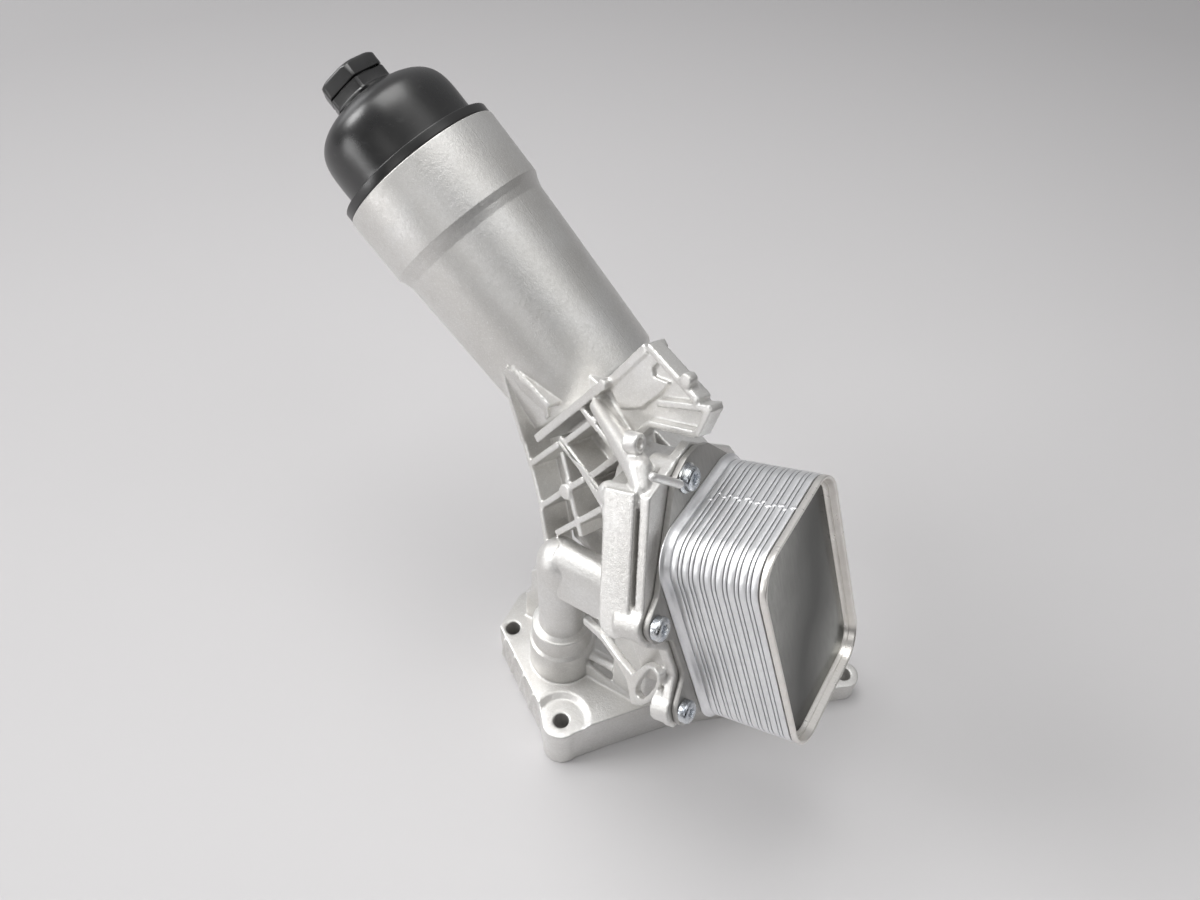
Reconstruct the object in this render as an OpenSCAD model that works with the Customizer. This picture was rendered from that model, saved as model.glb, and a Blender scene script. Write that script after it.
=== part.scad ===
// Oil filter housing with screw cap, replaceable filter element and a plate oil cooler.
// Lengths in millimetres, +Z up. z = 0 is the face that bolts to the engine block, and
// the riser pipe stands on the origin. The filter can leans back to -X, and the cooler
// faces +X and a little up.

/* [Filter can] */
// outer radius of the collar at its rim
collar_r = 46.2; // [40:0.1:55]
// height of the collar below its rim
collar_h = 37; // [30:0.5:50]
// outer radius of the can just under the collar
can_r = 43.2; // [38:0.1:50]
// draft of the can, radius lost from collar to base
can_draft = 3.2; // [0:0.1:5]
// length of the whole can from rim to base
can_len = 147; // [130:1:180]
// bore radius of the can
can_bore_r = 37.6; // [34:0.1:40]
// bore radius of the collar, where the cap screws in
collar_bore_r = 41.4; // [39:0.1:44]
// depth of the collar bore
collar_bore_h = 27; // [20:0.5:32]
// thickness of the can floor
floor_t = 7; // [5:0.5:10]
// lean of the can axis from upright
can_lean = 51.0; // [40:0.5:60]
// turn of the can axis seen from above
can_yaw = 175.7; // [170:0.1:185]

/* [Cap] */
// height of the cap flange that sits on the rim
cap_flange_h = 5.2; // [4:0.1:8]
// radius of the cap above its flange
cap_r = 39.4; // [37:0.1:44]
// height of the cap from the rim to the foot of its hexagon
cap_h = 45; // [38:0.2:55]
// wall of the cap
cap_wall = 3.2; // [2:0.1:4]
// width of the hexagon across its flats
hex_af = 32; // [27:1:36]
// height of the hexagon
hex_h = 15; // [10:0.5:18]
// length of the threaded skirt inside the collar
skirt_h = 20; // [14:0.5:24]
// cord radius of the cap seal ring
cap_seal_cord_r = 1.6; // [1.2:0.1:2.5]

/* [Filter element] */
// outer radius of the filter element
element_r = 35.2; // [32:0.1:37]
// height that the element stands out of the rim, up into the cap
element_rise = 13; // [10:0.5:16]
// bore radius of the core tube
core_r = 17; // [15:0.5:20]
// number of pleats
pleats = 36; // [24:1:48]
// thickness of the end caps of the element
end_cap_t = 3; // [2:0.2:4]

/* [Standpipe and bypass valve] */
// outer radius of the standpipe
standpipe_r = 9.5; // [8:0.5:12]
// length of the standpipe above the can floor
standpipe_len = 62; // [50:1:80]
// outer radius of the bypass valve cage
cage_r = 13; // [11:0.5:14]
// height of the bypass valve cage
cage_h = 26; // [22:1:32]
// stroke of the bypass valve
valve_stroke = 4; // [3:0.5:6]
// radius of the drain hole in the can floor
drain_r = 4; // [3:0.5:5]

/* [Engine flange] */
// height of the flange block at the riser pipe
flange_h = 34.5; // [30:0.5:40]
// thickness of the low part of the flange and its ear
ear_t = 16.5; // [10:0.5:20]
// radius of the bolt holes
bolt_hole_r = 4.5; // [4:0.1:5.5]
// radius of the bolt bosses
bolt_boss_r = 11.3; // [10:0.1:14]
// radius of the rounded end of the ear
ear_r = 9.3; // [8:0.1:12]
// length that the outline of the flange is drawn to
flange_len = 200; // [180:1:220]

/* [Riser pipe] */
// outer radius of the riser pipe
riser_r = 12.9; // [11:0.1:15]
// bore radius of the riser pipe
riser_bore_r = 8.5; // [7:0.1:10]
// height of the middle step
step_z = 74; // [60:0.5:90]
// height of the lowest step
foot_z = 59.6; // [50:0.5:70]
// outer radius of the middle step
step_r = 17.5; // [15:0.5:20]
// outer radius of the lowest step
foot_r = 19.6; // [17:0.1:23]

/* [Cooler pad] */
// lean of the cooler axis above level
pad_tilt = 18.8; // [10:0.2:25]
// thickness of the pad flange
pad_t = 5; // [4:0.2:8]
// length that the outline of the pad is drawn to
pad_len = 100; // [90:1:110]
// depth of the hollow body behind the pad
plenum_d = 24; // [18:0.5:35]

/* [Cooler] */
// width of the plates
plate_w = 76.2; // [65:0.1:85]
// length of the plates
plate_l = 120.6; // [105:0.1:130]
// corner radius of the plates
plate_corner_r = 16.5; // [10:0.1:30]
// how far the stack sits above the middle of the pad
stack_up = 3.1; // [0:0.1:6]
// how far the stack sits to the left of the middle of the pad
stack_side = 1.9; // [0:0.1:5]
// height of the wide plates of the stack
wide_pitch = 3.42; // [3:0.02:4]
// height of the narrow plates between them
narrow_pitch = 1.97; // [1.6:0.02:2.6]
// sheet thickness of one plate
sheet_t = 0.9; // [0.6:0.1:1.2]
// thickness of the smooth base plate
base_plate_t = 4.5; // [4:0.1:10]
// thickness of the mounting plate
mount_plate_t = 3; // [2:0.1:4]
// height of the end tray
tray_h = 3.5; // [3:0.1:6]
// width of the flat rim of the end tray
tray_rim_w = 2; // [1.5:0.1:4]
// depth that the floor of the tray lies below its foot
tray_sink = 1.8; // [0.5:0.1:2.2]
// radius of the cooler ports
port_r = 8; // [6:0.5:10]
// radius of the screw shanks
screw_r = 3; // [2.5:0.1:4]
// radius of the screw heads
screw_head_r = 5.6; // [5:0.1:7]
// radius of the flange under the first screw head
screw_flange_r = 7; // [6:0.1:8]

/* [Lattice] */
// length that the plan of the lattice is drawn to
lattice_len = 160; // [140:1:180]
// width of the ribs
rib_w = 3.4; // [2.5:0.1:5]
// depth of the ribs
rib_d = 17; // [10:0.5:24]
// depth of the solid web behind the ribs
web_d = 13; // [8:0.5:20]

/* [Hidden] */
$fn = 64;
quarter_share = 90;
// overrun of every cut
over = 1;
// running clearance between pieces
gap = 0.3;
// clearance of a fitted piece
fit = 0.05;
// edge rounding of the casting
edge_r = 2.5;

// can axis: centre of the rim
rim_x = -137;
rim_y = 81;
rim_z = 281.4;
collar_draft = 0.3;
shoulder_h = 5.5;
base_round = 5;
mouth_chamfer = 1.5;

standpipe_foot_t = 3;
standpipe_foot_r = cage_r + 2 * gap;
standpipe_bore_r = 0.72 * standpipe_r;
core_t = 1.2;
media_r = element_r - 2 * gap;
floor_z = -can_len + floor_t;
cage_z = floor_z + standpipe_len;
cage_wall = 1.6;
poppet_r = cage_r - cage_wall - gap;
poppet_t = 2.4;
poppet_lift = 2.2;
seat_t = 2.5;
spring_wire_r = 0.7;
spring_turns = 4;
drain_offset = 24;
// element stands so that its foot clears the floor
element_z = floor_z + 4 * end_cap_t;
element_top_z = element_rise;
element_len = element_rise - element_z;

// cooler stack
plate_count = 15;
first_plate_z = base_plate_t;
stack_h = ceil(plate_count / 2) * wide_pitch + floor(plate_count / 2) * narrow_pitch;
// drawn-in foot of a plate, which shows as the dark line between two plates
plate_foot_h = 0.35;
pad_x = 85.7;
pad_y = 10.8;
pad_z = 159.3;
// plates draw in a little from their rim to their floor
plate_step = 1.1;
tray_floor_t = 1;
channel_d = 6;
channel_w = 16;
channel_gap = 1.6;
screw_boss_r = 8.6;
screw_boss_d = 9;
low_boss_d = 5;
screw_hole_d = 8.6;
screw_len = 11.5;
port_hole_d = 14;
// reach of the mounting plate, up, down and to each side
mount_top_share = 0.87;
mount_foot_share = 0.62;
mount_side_share = 0.62;

// places of the cooler screws, across and up the pad
screw_shares = [[-0.535, 0.31], [-0.54, -0.27], [-0.055, 0.77], [0.535, 0.09], [0.54, -0.27]];
// places of the cooler ports
port_shares = [[-0.17, 0.36], [0.17, 0.36], [-0.17, -0.36], [0.17, -0.36]];
pad_outline_shares = [
    [-0.29, 0.84], [0.08, 0.86], [0.38, 0.60], [0.48, 0.36], [0.61, 0.17], [0.61, 0.01],
    [0.50, -0.07], [0.50, -0.13], [0.61, -0.20], [0.61, -0.36], [0.48, -0.40], [0.30, -0.62],
    [-0.28, -0.62], [-0.46, -0.42], [-0.61, -0.34], [-0.60, -0.22], [-0.485, -0.10],
    [-0.485, 0.08], [-0.60, 0.23], [-0.605, 0.30]];
mount_plate_shares = [
    [-0.13, 0.82], [-0.02, 0.85], [0.08, 0.84], [0.17, 0.79], [0.38, 0.52], [0.45, 0.30],
    [0.60, 0.17], [0.60, 0.01], [0.46, -0.07], [0.46, -0.13], [0.60, -0.22], [0.60, -0.34], [0.46, -0.40], [0.28, -0.60],
    [-0.26, -0.60], [-0.44, -0.42], [-0.60, -0.34], [-0.58, -0.22], [-0.455, -0.12],
    [-0.455, 0.14], [-0.58, 0.24], [-0.60, 0.35], [-0.46, 0.42]];
plenum_shares = [
    [-0.24, 0.80], [0.20, 0.70], [0.42, 0.40], [0.44, -0.36], [0.22, -0.52], [-0.20, -0.52],
    [-0.40, -0.34], [-0.40, 0.10], [-0.50, 0.30]];
// face line of the box channel on the side of the pad, from its top to its foot
channel_shares = [[-0.245, 0.83], [-0.585, 0.245]];

// outline of the flange block and of its low tail
block_shares = [
    [-0.240, 0.1025], [-0.225, -0.020], [0.030, -0.175], [0.0705, -0.2165], [0.155, -0.209],
    [0.187, -0.164], [0.290, -0.030], [0.350, 0.045], [0.300, 0.220], [-0.080, 0.300],
    [-0.215, 0.200]];
tail_shares = [
    [0.260, -0.068], [0.358, 0.052], [0.782, 0.4245], [0.725, 0.494],
    [0.560, 0.520], [0.300, 0.420], [-0.080, 0.300], [0.000, 0.050]];
// places of the bolt holes of the flange
bolt_shares = [[0.1115, -0.179], [-0.1855, -0.0035], [0.7535, 0.4595], [-0.120, 0.235],
    [0.330, 0.380]];

// plan of the lattice, down and to the right
lat_body_shares = [
    [-0.020, 0.080], [0.120, 0.205], [0.186, 0.262], [0.299, 0.352], [0.400, 0.425],
    [0.400, 0.560], [0.300, 0.640], [0.140, 0.680], [0.020, 0.640], [-0.060, 0.620],
    [-0.140, 0.560], [-0.200, 0.420], [-0.200, 0.300]];
// deeper part of the bracket, tucked under its upper edge
lat_core_shares = [
    [0.000, 0.150], [0.260, 0.360], [0.300, 0.700], [0.180, 0.860], [-0.040, 0.860],
    [-0.120, 0.700], [-0.160, 0.400]];
// deep ribs as pairs of ends
rib_shares = [
    [[-0.075, 0.010], [0.120, 0.192]], [[0.120, 0.192], [0.186, 0.250]],
    [[0.186, 0.250], [0.299, 0.340]], [[0.299, 0.340], [0.425, 0.415]],
    [[0.180, 0.240], [0.014, 0.347]], [[0.290, 0.335], [0.178, 0.406]],
    [[0.178, 0.406], [0.050, 0.490]], [[0.335, 0.432], [0.074, 0.604]],
    [[-0.009, 0.369], [-0.200, 0.486]], [[0.016, 0.516], [-0.166, 0.620]],
    [[-0.010, 0.343], [0.066, 0.657]], [[0.034, 0.366], [0.102, 0.422]],
    [[0.102, 0.422], [0.200, 0.496]], [[0.200, 0.496], [0.256, 0.541]],
    [[-0.242, 0.449], [-0.186, 0.613]], [[-0.167, 0.411], [-0.131, 0.572]],
    [[0.080, 0.590], [0.004, 0.640]]];
// shallow ribs of the upper edge and of the arm
edge_rib_shares = [
    [[-0.500, 0.585], [-0.458, 0.800]], [[-0.366, 0.672], [-0.464, 0.846]],
    [[-0.288, 0.664], [-0.366, 0.828]], [[-0.186, 0.613], [-0.152, 0.749]],
    [[-0.464, 0.842], [-0.366, 0.830]], [[-0.286, 0.664], [-0.186, 0.613]],
    [[-0.152, 0.749], [-0.020, 0.700]]];
// raised smooth field of the upper edge, with a wavy side
edge_field_shares = [[-0.285, 0.468], [-0.458, 0.570], [-0.492, 0.600], [-0.480, 0.628],
    [-0.436, 0.606], [-0.415, 0.620], [-0.431, 0.676], [-0.385, 0.660], [-0.330, 0.625],
    [-0.300, 0.610], [-0.245, 0.535]];
// thick rib along the foot of the can
blade_shares = [[0.062, 0.250], [-0.297, 0.469], [-0.480, 0.568]];
// floor of the arm between its two ribs
arm_shares = [[-0.366, 0.672], [-0.464, 0.844], [-0.366, 0.829], [-0.288, 0.664]];
edge_panel_shares = [[-0.290, 0.465], [-0.466, 0.572], [-0.497, 0.592], [-0.456, 0.797],
    [-0.366, 0.672], [-0.286, 0.664], [-0.186, 0.613], [-0.242, 0.449]];
lat_boss_shares = [0.1475, 0.432];
// boss beside the arm, across and up the pad
side_boss_shares = [0.077, 0.794];
side_boss_z = -27.3;
side_boss_r = 4.2;
side_boss_h = 10;
side_hole_r = 1.9;
side_hole_d = 9;
edge_lug_shares = [-0.490, 0.745];
edge_lug_r = 3.2;
edge_field_d = 4;
edge_lug_h = 5;
lat_x = -68;
lat_y = 41;
lat_z = 196;
lat_lean = 75.04;
lat_turn = -109.05;
blade_w = 4.6;
// round at the joint of two ribs, as a share of their width
share_of_round = 0.6;
// step in height between ribs that meet
rib_step = 0.4;
edge_rib_d = 6;
edge_web_t = 3;
core_d = 22;
// webs on the side of the can: both ends in plan, and the height of the top at each end
climb_shares = [[[-0.127, 0.066], [0.120, 0.192], 0.056, 0.001],
    [[-0.151, 0.104], [-0.089, 0.279], 0.048, 0.010]];
// arm between the lattice and the pad, and its rib
neck_shares = [[-0.160, 0.609], [-0.186, 0.675], [-0.158, 0.751], [-0.110, 0.790], [0.030, 0.680],
    [0.000, 0.600], [-0.078, 0.600]];
neck_rib_shares = [[-0.119, 0.612], [-0.098, 0.704]];

// link from the riser pipe to the pad
link_r = 9.5;
link_z = 137.5;
// the round top of the riser lies lower than the axis of the link
riser_drop = 5.5;
link_len = 62;
link_web_low = 117;
link_web_t = 4;
link_web_y = -11;
link_web_a = 80;
// curved panel from the foot of the riser to the low lug of the pad
panel_turn = -26;
panel_t = 4;
panel_len = 96;
panel_shares = [[0.271, 1.162], [0.459, 1.243], [0.626, 1.241], [0.761, 1.267],
    [0.810, 1.405], [0.845, 1.490], [0.877, 1.543], [0.925, 1.588], [0.973, 1.586], [0.984, 1.530],
    [0.977, 1.453], [0.948, 1.340], [0.911, 1.214], [0.860, 1.098], [0.806, 1.017], [0.773, 0.975],
    [0.745, 1.060], [0.715, 1.150], [0.620, 1.185], [0.459, 1.188], [0.271, 1.105]];
panel_window_shares = [[0.921, 1.558], [0.948, 1.556], [0.958, 1.526], [0.948, 1.430],
    [0.903, 1.284], [0.868, 1.185], [0.834, 1.132], [0.806, 1.132], [0.794, 1.167], [0.815, 1.280],
    [0.855, 1.421], [0.890, 1.520]];
// gusset and bar between the foot of the riser and the column
gusset_y = -2.5;
gusset_t = 2.6;
gusset_x = 51;
gusset_h = 12;
foot_bar_y = 2.5;
foot_bar_z = 50;
foot_bar_r = 3.6;
foot_bar_len = 40;
// column that stands behind the pad
column_shares = [[0.36, -0.02], [0.575, -0.02], [0.69, 0.14], [0.78, 0.40], [0.40, 0.44]];
column_top = 150;
// wall behind the riser
back_wall_y = 12;
back_wall_t = 12;
back_wall_h = 108;
back_wall_shares = [[-0.345, 0.05], [-0.325, 0.55], [-0.285, 0.60], [-0.275, 0.80], [-0.235, 0.84],
    [-0.20, 1.00], [0.10, 1.00], [0.10, 0.05]];
// stepped pocket around the near bolt
pocket_r = 18.3;
pocket_low_r = 13.5;
pocket_d = 2.2;

// power of the curve that the cap's dome follows
dome_share = 6.5;
cap_flange_r = collar_r - 1.4 * gap;
hex_low_h = 0.42 * hex_h;
hex_groove_h = 0.8;
hex_neck_r = 0.46 * hex_af;
skirt_r = collar_bore_r - gap;
skirt_bore_r = cap_r - cap_wall;
seal_z = 0.3 * skirt_h;
clip_h = 9;
clip_r = 24;
clip_z = element_top_z + gap;
dome_steps = 14;
pleat_foot_r = core_r + core_t + 3;
element_foot = 4 * end_cap_t + standpipe_foot_t - 2 * gap;
seal_outer_r = standpipe_r + 3.5;
core_rows = 6;
core_windows = 6;
core_window_w = 8;
core_window_h = 12;
stack_z = 2 * gap + mount_plate_t + base_plate_t;
stack_top = stack_z + stack_h + tray_h;
// pan of the end tray, which sits in the last plate
tray_pan_l = plate_l - 4 * plate_step - 2 * gap;
tray_pan_w = plate_w - 4 * plate_step - 2 * gap;
tray_pan_r = plate_corner_r - 2 * plate_step - gap;
port_seal_cord_r = 1.3;
seal_groove_h = 2.4;
return_port_x = 52;
return_port_y = 34;
gasket_offset = 4;
gasket_w = 3.2;
gasket_t = 2.6;

// frame of the can: origin at the rim, +Z towards the cap
module on_can() {
    translate([rim_x, rim_y, rim_z]) rotate([0, can_lean, can_yaw]) children();
}

// frame of the pad: origin at its middle, +Z out of the pad, +X down, +Y back
module on_pad() {
    translate([pad_x, pad_y, pad_z]) rotate([0, quarter_share - pad_tilt, 0]) children();
}

// frame of the lattice: +Z out of its face, +X down, +Y right
module on_lattice() {
    translate([lat_x, lat_y, lat_z]) rotate([0, lat_lean, lat_turn]) children();
}

// a straight bar between two points of a plan
module bar(p, q, w, z0, z1) {
    translate([p[0], p[1], z0]) rotate([0, 0, atan2(q[1] - p[1], q[0] - p[0])])
        translate([0, -w / 2, 0]) cube([norm(q - p), w, z1 - z0]);
}

// a straight web between two points of a plan, with a top that slopes from zp to zq
module climb(p, q, w, z0, zp, zq) {
    translate([p[0], p[1], 0]) rotate([0, 0, atan2(q[1] - p[1], q[0] - p[0])])
        rotate([quarter_share, 0, 0]) translate([0, 0, -w / 2]) linear_extrude(w)
            polygon([[0, z0], [norm(q - p), z0], [norm(q - p), zq], [0, zp]]);
}

// plan of a plate with rounded corners
module plate_plan(l, w, r) {
    translate([-stack_up, -stack_side]) union() {
        square([l - 2 * r, w], center = true);
        square([l, w - 2 * r], center = true);
        for (sx = [-1, 1], sy = [-1, 1])
            translate([sx * (l / 2 - r), sy * (w / 2 - r)]) circle(r);
    }
}

// points of the pad are across and up, its frame is down and back
function pad_point(s) = [-s[1] * pad_len, s[0] * pad_len];

module can_outside() {
    rotate_extrude() polygon([
        [0, 0], [collar_r, 0], [collar_r - collar_draft, -collar_h],
        [can_r, -collar_h - shoulder_h],
        [can_r - can_draft, -can_len + base_round],
        [can_r - can_draft - base_round, -can_len], [0, -can_len]]);
}

module can_inside() {
    translate([0, 0, floor_z]) cylinder(h = can_len, r = can_bore_r);
    translate([0, 0, -collar_bore_h]) cylinder(h = can_len, r = collar_bore_r);
    translate([0, 0, -mouth_chamfer])
        cylinder(h = mouth_chamfer + gap, r1 = collar_bore_r,
            r2 = collar_bore_r + mouth_chamfer + gap);
    // seat of the standpipe foot
    translate([0, 0, floor_z - standpipe_foot_t]) cylinder(h = can_len, r = standpipe_foot_r);
    translate([drain_offset, 0, -can_len - over])
        cylinder(h = floor_t + 2 * over, r = drain_r);
}

// prism over a table of shares
module plan_prism(shares, len, z0, z1) {
    translate([0, 0, z0]) linear_extrude(z1 - z0) polygon([for (s = shares) s * len]);
}

module lattice() {
    on_lattice() {
        plan_prism(lat_body_shares, lattice_len, -rib_d - web_d, -rib_d);
        plan_prism(lat_core_shares, lattice_len, -rib_d - web_d - core_d, -rib_d - web_d + over);
        // ribs that meet are cast a little different in height
        for (i = [0:len(rib_shares) - 1]) bar(rib_shares[i][0] * lattice_len,
            rib_shares[i][1] * lattice_len, rib_w, -rib_d - over, -rib_step * (i % 3));
        for (i = [0:len(edge_rib_shares) - 1]) bar(edge_rib_shares[i][0] * lattice_len,
            edge_rib_shares[i][1] * lattice_len, rib_w, -edge_rib_d - edge_web_t,
            -rib_step * (i % 3) - rib_step / 2);
        // thick blade, then the low rim of the smooth field
        for (i = [0, 1]) bar(blade_shares[i] * lattice_len, blade_shares[i + 1] * lattice_len,
            blade_w, -rib_d, i == 0 ? over : over - edge_field_d);
        // webs that climb from the ribs to points on the side of the can
        for (s = climb_shares) climb(s[0] * lattice_len, s[1] * lattice_len, rib_w, -rib_d,
            s[2] * lattice_len, s[3] * lattice_len);
        // arm that joins the lattice to the top of the pad
        plan_prism(neck_shares, lattice_len, -rib_d, -over);
        bar(neck_rib_shares[0] * lattice_len, neck_rib_shares[1] * lattice_len, rib_w, -rib_d,
            rib_step);
        translate([blade_shares[1][0] * lattice_len, blade_shares[1][1] * lattice_len, -rib_d])
            cylinder(h = rib_d + over, r = share_of_round * blade_w);
        plan_prism(arm_shares, lattice_len, -edge_rib_d - edge_web_t, -edge_rib_d);
        plan_prism(edge_panel_shares, lattice_len, -edge_rib_d - edge_web_t, -edge_rib_d);
        plan_prism(edge_field_shares, lattice_len, -edge_rib_d - edge_web_t / 2, -edge_field_d);
        translate([lat_boss_shares[0] * lattice_len, lat_boss_shares[1] * lattice_len,
            -rib_d - over]) cylinder(h = rib_d + 2 * over, r = 1.25 * rib_w);
    }
    on_lattice() translate([edge_lug_shares[0] * lattice_len, edge_lug_shares[1] * lattice_len,
        -edge_lug_h]) cylinder(h = edge_lug_h + gap, r = edge_lug_r);
}

module riser() {
    cylinder(h = link_z - riser_drop, r = riser_r);
    translate([0, 0, link_z - riser_drop]) sphere(riser_r);
    cylinder(h = step_z, r = step_r);
    cylinder(h = foot_z, r = foot_r);
    translate([0, 0, link_z]) rotate([0, quarter_share, 0]) cylinder(h = link_len, r = link_r);
    // web under the link, a wedge that slopes back from its lower edge
    translate([riser_r / 2, 0, 0]) rotate([quarter_share, 0, quarter_share])
        linear_extrude(link_len) polygon([[link_web_y - link_web_t / 2, link_web_low],
            [link_web_y + link_web_t, link_web_low - edge_r / 2], [link_r / 2, link_z],
            [-link_r * sin(link_web_a), link_z + link_r * cos(link_web_a)]]);
    translate([0, back_wall_y + back_wall_t, 0]) rotate([quarter_share, 0, 0])
        plan_prism(back_wall_shares, back_wall_h, 0, back_wall_t);
}

module panel() {
    translate([0, gusset_y + gusset_t / 2, flange_h - over]) rotate([quarter_share, 0, 0])
        linear_extrude(gusset_t) polygon([[0, 0], [gusset_x, 0], [gusset_x, 2 * over],
            [foot_r, gusset_h + over], [0, gusset_h + over]]);
    translate([0, foot_bar_y, foot_bar_z]) rotate([0, quarter_share, 0])
        cylinder(h = foot_bar_len, r = foot_bar_r);
    rotate([0, 0, panel_turn]) rotate([quarter_share, 0, 0]) translate([0, 0, -panel_t / 2])
        linear_extrude(panel_t) difference() {
            polygon([for (s = panel_shares) s * panel_len]);
            polygon([for (s = panel_window_shares) s * panel_len]);
        }
}

module flange_body() {
    linear_extrude(flange_h) polygon([for (s = block_shares) s * flange_len]);
    linear_extrude(ear_t) polygon([for (s = tail_shares) s * flange_len]);
    // rounded corner at the near bolt and rounded end of the ear
    translate([bolt_shares[0][0] * flange_len, bolt_shares[0][1] * flange_len, 0])
        cylinder(h = flange_h, r = bolt_boss_r);
    translate([bolt_shares[2][0] * flange_len, bolt_shares[2][1] * flange_len, 0])
        cylinder(h = ear_t, r = ear_r);
    plan_prism(column_shares, pad_len, 0, column_top);
}

// box channel with a rounded foot on the side of the pad
module channel() {
    p = pad_point(channel_shares[0]);
    q = pad_point(channel_shares[1]);
    translate([p[0], p[1], -pad_t - channel_gap - channel_w])
        rotate([0, 0, atan2(q[1] - p[1], q[0] - p[0])]) rotate([quarter_share, 0, 0])
            translate([0, 0, -channel_d]) linear_extrude(2 * channel_d) union() {
                square([norm(q - p) - channel_w / 2, channel_w]);
                translate([norm(q - p) - channel_w / 2, channel_w / 2]) circle(channel_w / 2);
            }
}

module pad_body() {
    on_pad() {
        plan_prism([for (s = pad_outline_shares) [-s[1], s[0]]], pad_len, -pad_t, 0);
        plan_prism([for (s = plenum_shares) [-s[1], s[0]]], pad_len, -pad_t - plenum_d,
            -pad_t + over);
        for (i = [0:len(screw_shares) - 1]) let (d = i == 1 ? low_boss_d : screw_boss_d)
            translate([pad_point(screw_shares[i])[0], pad_point(screw_shares[i])[1], -pad_t - d])
                cylinder(h = pad_t + d, r = screw_boss_r);
        channel();
        translate([pad_point(side_boss_shares)[0], pad_point(side_boss_shares)[1],
            side_boss_z - side_boss_h]) cylinder(h = side_boss_h, r = side_boss_r);
    }
}

// space in front of the pad that the cooler and its mounting plate take up
module cooler_room() {
    on_pad() {
        translate([-mount_top_share * pad_len, -mount_side_share * pad_len, 0])
            cube([(mount_top_share + mount_foot_share) * pad_len,
                2 * mount_side_share * pad_len, mount_plate_t + 2 * gap]);
        translate([-stack_up - plate_l / 2 - plate_step - gap,
            -stack_side - plate_w / 2 - plate_step - gap, 0])
            cube([plate_l + 2 * plate_step + 2 * gap, plate_w + 2 * plate_step + 2 * gap,
                stack_top + gap]);
    }
}

module housing_casting() {
    color("silver") difference() {
        union() {
            on_can() can_outside();
            lattice();
            riser();
            panel();
            flange_body();
            pad_body();
        }
        on_can() can_inside();
        cooler_room();
        translate([0, 0, -over]) cylinder(h = link_z, r = riser_bore_r);
        for (s = bolt_shares) translate([s[0] * flange_len, s[1] * flange_len, -over])
            cylinder(h = flange_h + 2 * over, r = bolt_hole_r);
        translate([bolt_shares[0][0] * flange_len, bolt_shares[0][1] * flange_len,
            flange_h - pocket_d]) cylinder(h = pocket_d + over, r1 = pocket_low_r,
                r2 = pocket_r + over);
        on_pad() {
            for (s = port_shares)
                translate([pad_point(s)[0], pad_point(s)[1], -port_hole_d])
                    cylinder(h = port_hole_d + over, r = port_r);
            for (s = screw_shares)
                translate([pad_point(s)[0], pad_point(s)[1], -screw_hole_d])
                    cylinder(h = screw_hole_d + over, r = screw_r + fit);
        }
        on_pad() translate([pad_point(side_boss_shares)[0], pad_point(side_boss_shares)[1],
            side_boss_z - side_hole_d]) cylinder(h = side_hole_d + over, r = side_hole_r);
        // grooves of the port seals and of the gasket
        on_pad() for (s = port_shares)
            translate([pad_point(s)[0], pad_point(s)[1], -seal_groove_h])
                cylinder(h = seal_groove_h + over, r = port_r + 2 * port_seal_cord_r + 4 * gap);
        translate([0, 0, -over]) linear_extrude(gasket_t + over + gap / 2)
            gasket_plan(gasket_w + 2 * gap);
        translate([return_port_x, return_port_y, -over]) cylinder(h = flange_h,
            r = riser_bore_r);
    }
}

// outline of a dome, from its foot to its crown
function dome(r, h, z0) = [for (t = [0:dome_steps]) let (u = sin(t * 90 / dome_steps))
    if (u * h >= z0) [r * sqrt(1 - pow(u, dome_share)), u * h]];

module filter_cap() {
    color("black") on_can() difference() {
        union() {
            rotate_extrude() polygon(concat(
                [[0, gap], [cap_flange_r - edge_r / 2, gap], [cap_flange_r, edge_r / 2],
                    [cap_flange_r, cap_flange_h - edge_r],
                    [cap_flange_r - edge_r / 2, cap_flange_h - edge_r / 3],
                    [cap_r + edge_r / 2, cap_flange_h], [cap_r, cap_flange_h + edge_r / 2]],
                dome(cap_r, cap_h, cap_flange_h + edge_r)));
            translate([0, 0, cap_h - 2 * over]) cylinder(h = hex_low_h + 2 * over,
                r = hex_af / sqrt(3), $fn = 6);
            translate([0, 0, cap_h]) cylinder(h = hex_h, r = hex_neck_r);
            intersection() {
                translate([0, 0, cap_h + hex_low_h + hex_groove_h]) cylinder(
                    h = hex_h - hex_low_h - hex_groove_h, r = hex_af / sqrt(3), $fn = 6);
                translate([0, 0, cap_h]) cylinder(h = hex_h, r1 = hex_af / 2 + hex_h,
                    r2 = hex_af / 2);
            }
            translate([0, 0, -skirt_h]) cylinder(h = skirt_h + over, r = skirt_r);
        }
        difference() {
            translate([0, 0, -skirt_h - over]) rotate_extrude() polygon(concat(
                [[0, 0], [skirt_bore_r, 0]],
                [for (q = dome(skirt_bore_r, cap_h - cap_wall, 0)) [q[0], q[1] + skirt_h + over]]));
            // ring inside the cap that the element clips into
            translate([0, 0, clip_z]) difference() {
                cylinder(h = cap_h, r = clip_r);
                translate([0, 0, -over]) cylinder(h = cap_h, r = clip_r - cap_wall / 2);
            }
        }
        // groove of the seal ring
        translate([0, 0, -seal_z - cap_seal_cord_r - gap]) difference() {
            cylinder(h = 2 * (cap_seal_cord_r + gap), r = collar_r);
            translate([0, 0, -over]) cylinder(h = 2 * (cap_seal_cord_r + gap + over),
                r = skirt_r - 2 * cap_seal_cord_r);
        }
    }
}

module cap_seal_ring() {
    color("dimgray") on_can() translate([0, 0, -seal_z])
        rotate_extrude() translate([skirt_r - cap_seal_cord_r + fit, 0]) circle(cap_seal_cord_r);
}

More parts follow.
